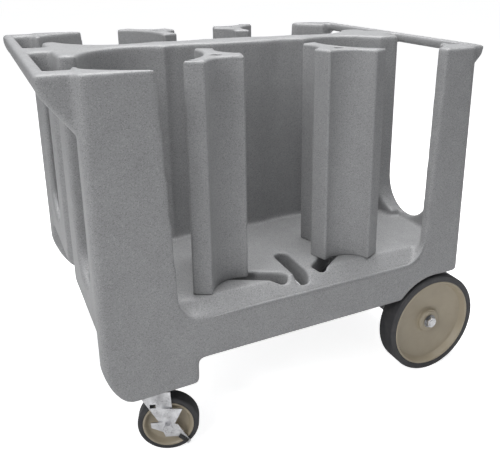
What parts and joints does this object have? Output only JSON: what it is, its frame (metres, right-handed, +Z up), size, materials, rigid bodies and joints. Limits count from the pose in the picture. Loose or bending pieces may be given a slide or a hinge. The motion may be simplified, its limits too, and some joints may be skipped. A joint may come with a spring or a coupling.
{
  "type": "plate dispenser cart",
  "caption": "Moulded cart with open plate bays either side of a spine, divider towers that slide in deck slots, a handle bar at each end, large fixed wheels and swivel casters.",
  "frame": {"origin": "middle of the whole cart's footprint, on the floor", "axes": "+X from the caster end to the large wheels, +Y to the true right hand of someone who stands at the large wheels' end and faces the caster end, +Z up"},
  "size_m": [0.988, 0.73, 0.813],
  "materials": {
    "moulding": "speckled granite grey polyethylene, lightly pebbled, semi-matt",
    "hub_plastic": "tan moulded plastic, satin",
    "tyre_rubber": "charcoal non-marking rubber, satin",
    "pad_rubber": "dark rubber",
    "zinc_sheet": "bright zinc-plated pressed steel",
    "zinc_steel": "bright zinc-plated turned steel"
  },
  "bodies": {
    "body": {"body_shell": "moulding", "rear_axle": "zinc_steel", "rear_spacer_left": "zinc_steel", "rear_washer_left": "zinc_steel", "rear_nut_left": "zinc_steel", "caster_plate_left": "zinc_sheet", "caster_plate_bolts_left": "zinc_steel", "caster_race_left": "zinc_sheet", "caster_kingpin_left": "zinc_steel", "rear_spacer_right": "zinc_steel", "rear_washer_right": "zinc_steel", "rear_nut_right": "zinc_steel", "caster_plate_right": "zinc_sheet", "caster_plate_bolts_right": "zinc_steel", "caster_race_right": "zinc_sheet", "caster_kingpin_right": "zinc_steel"},
    "tower_left_front": {"tower_left_front": "moulding", "tie_rod_left_front": "zinc_steel", "top_nut_left_front": "zinc_steel", "clamp_plate_left_front": "zinc_steel", "clamp_nut_left_front": "zinc_steel"},
    "tower_left_rear": {"tower_left_rear": "moulding", "tie_rod_left_rear": "zinc_steel", "top_nut_left_rear": "zinc_steel", "clamp_plate_left_rear": "zinc_steel", "clamp_nut_left_rear": "zinc_steel"},
    "tower_right_front": {"tower_right_front": "moulding", "tie_rod_right_front": "zinc_steel", "top_nut_right_front": "zinc_steel", "clamp_plate_right_front": "zinc_steel", "clamp_nut_right_front": "zinc_steel"},
    "tower_right_rear": {"tower_right_rear": "moulding", "tie_rod_right_rear": "zinc_steel", "top_nut_right_rear": "zinc_steel", "clamp_plate_right_rear": "zinc_steel", "clamp_nut_right_rear": "zinc_steel"},
    "rear_wheel_left": {"rear_tyre_left": "tyre_rubber", "rear_hub_left": "hub_plastic", "rear_bush_left": "zinc_steel"},
    "caster_swivel_left": {"caster_fork_left": "zinc_sheet", "caster_sleeve_left": "zinc_steel", "caster_bolt_left": "zinc_steel", "caster_nut_left": "zinc_steel"},
    "caster_wheel_left": {"caster_tread_left": "tyre_rubber", "caster_hub_left": "hub_plastic"},
    "rear_wheel_right": {"rear_tyre_right": "tyre_rubber", "rear_hub_right": "hub_plastic", "rear_bush_right": "zinc_steel"},
    "caster_swivel_right": {"caster_fork_right": "zinc_sheet", "caster_sleeve_right": "zinc_steel", "caster_bolt_right": "zinc_steel", "caster_nut_right": "zinc_steel"},
    "caster_wheel_right": {"caster_tread_right": "tyre_rubber", "caster_hub_right": "hub_plastic"},
    "brake_lever": {"brake_pedal": "zinc_sheet", "brake_pad": "pad_rubber"}
  },
  "joints": [
    {"name": "tower_left_front_slide", "type": "slide", "parent": "body", "child": "tower_left_front", "axis": [-0.8729, 0.4879, 0], "range_m": [-0.035, 0.025]},
    {"name": "tower_left_rear_slide", "type": "slide", "parent": "body", "child": "tower_left_rear", "axis": [0.7997, 0.6004, 0], "range_m": [-0.03, 0.03]},
    {"name": "tower_right_front_slide", "type": "slide", "parent": "body", "child": "tower_right_front", "axis": [-0.8729, -0.4879, 0], "range_m": [-0.005, 0.055]},
    {"name": "tower_right_rear_slide", "type": "slide", "parent": "body", "child": "tower_right_rear", "axis": [0.7997, -0.6004, 0], "range_m": [-0.005, 0.055]},
    {"name": "rear_wheel_left_spin", "type": "hinge", "parent": "body", "child": "rear_wheel_left", "pos_m": [0.367, -0.34, 0.127], "axis": [0, 1, 0], "continuous": true},
    {"name": "rear_wheel_right_spin", "type": "hinge", "parent": "body", "child": "rear_wheel_right", "pos_m": [0.367, 0.34, 0.127], "axis": [0, 1, 0], "continuous": true},
    {"name": "caster_left_swivel", "type": "hinge", "parent": "body", "child": "caster_swivel_left", "pos_m": [-0.334, -0.312, 0.14], "axis": [0, 0, 1], "continuous": true},
    {"name": "caster_left_spin", "type": "hinge", "parent": "caster_swivel_left", "child": "caster_wheel_left", "pos_m": [-0.30226, -0.32419, 0.0635], "axis": [0.3584, 0.9336, 0], "continuous": true},
    {"name": "brake_press", "type": "hinge", "parent": "caster_swivel_left", "child": "brake_lever", "pos_m": [-0.30226, -0.32419, 0.0635], "axis": [0.3584, 0.9336, 0], "range_deg": [0, 12]},
    {"name": "caster_right_swivel", "type": "hinge", "parent": "body", "child": "caster_swivel_right", "pos_m": [-0.334, 0.312, 0.14], "axis": [0, 0, 1], "continuous": true},
    {"name": "caster_right_spin", "type": "hinge", "parent": "caster_swivel_right", "child": "caster_wheel_right", "pos_m": [-0.30226, 0.32419, 0.0635], "axis": [0.3584, -0.9336, 0], "continuous": true}
  ]
}
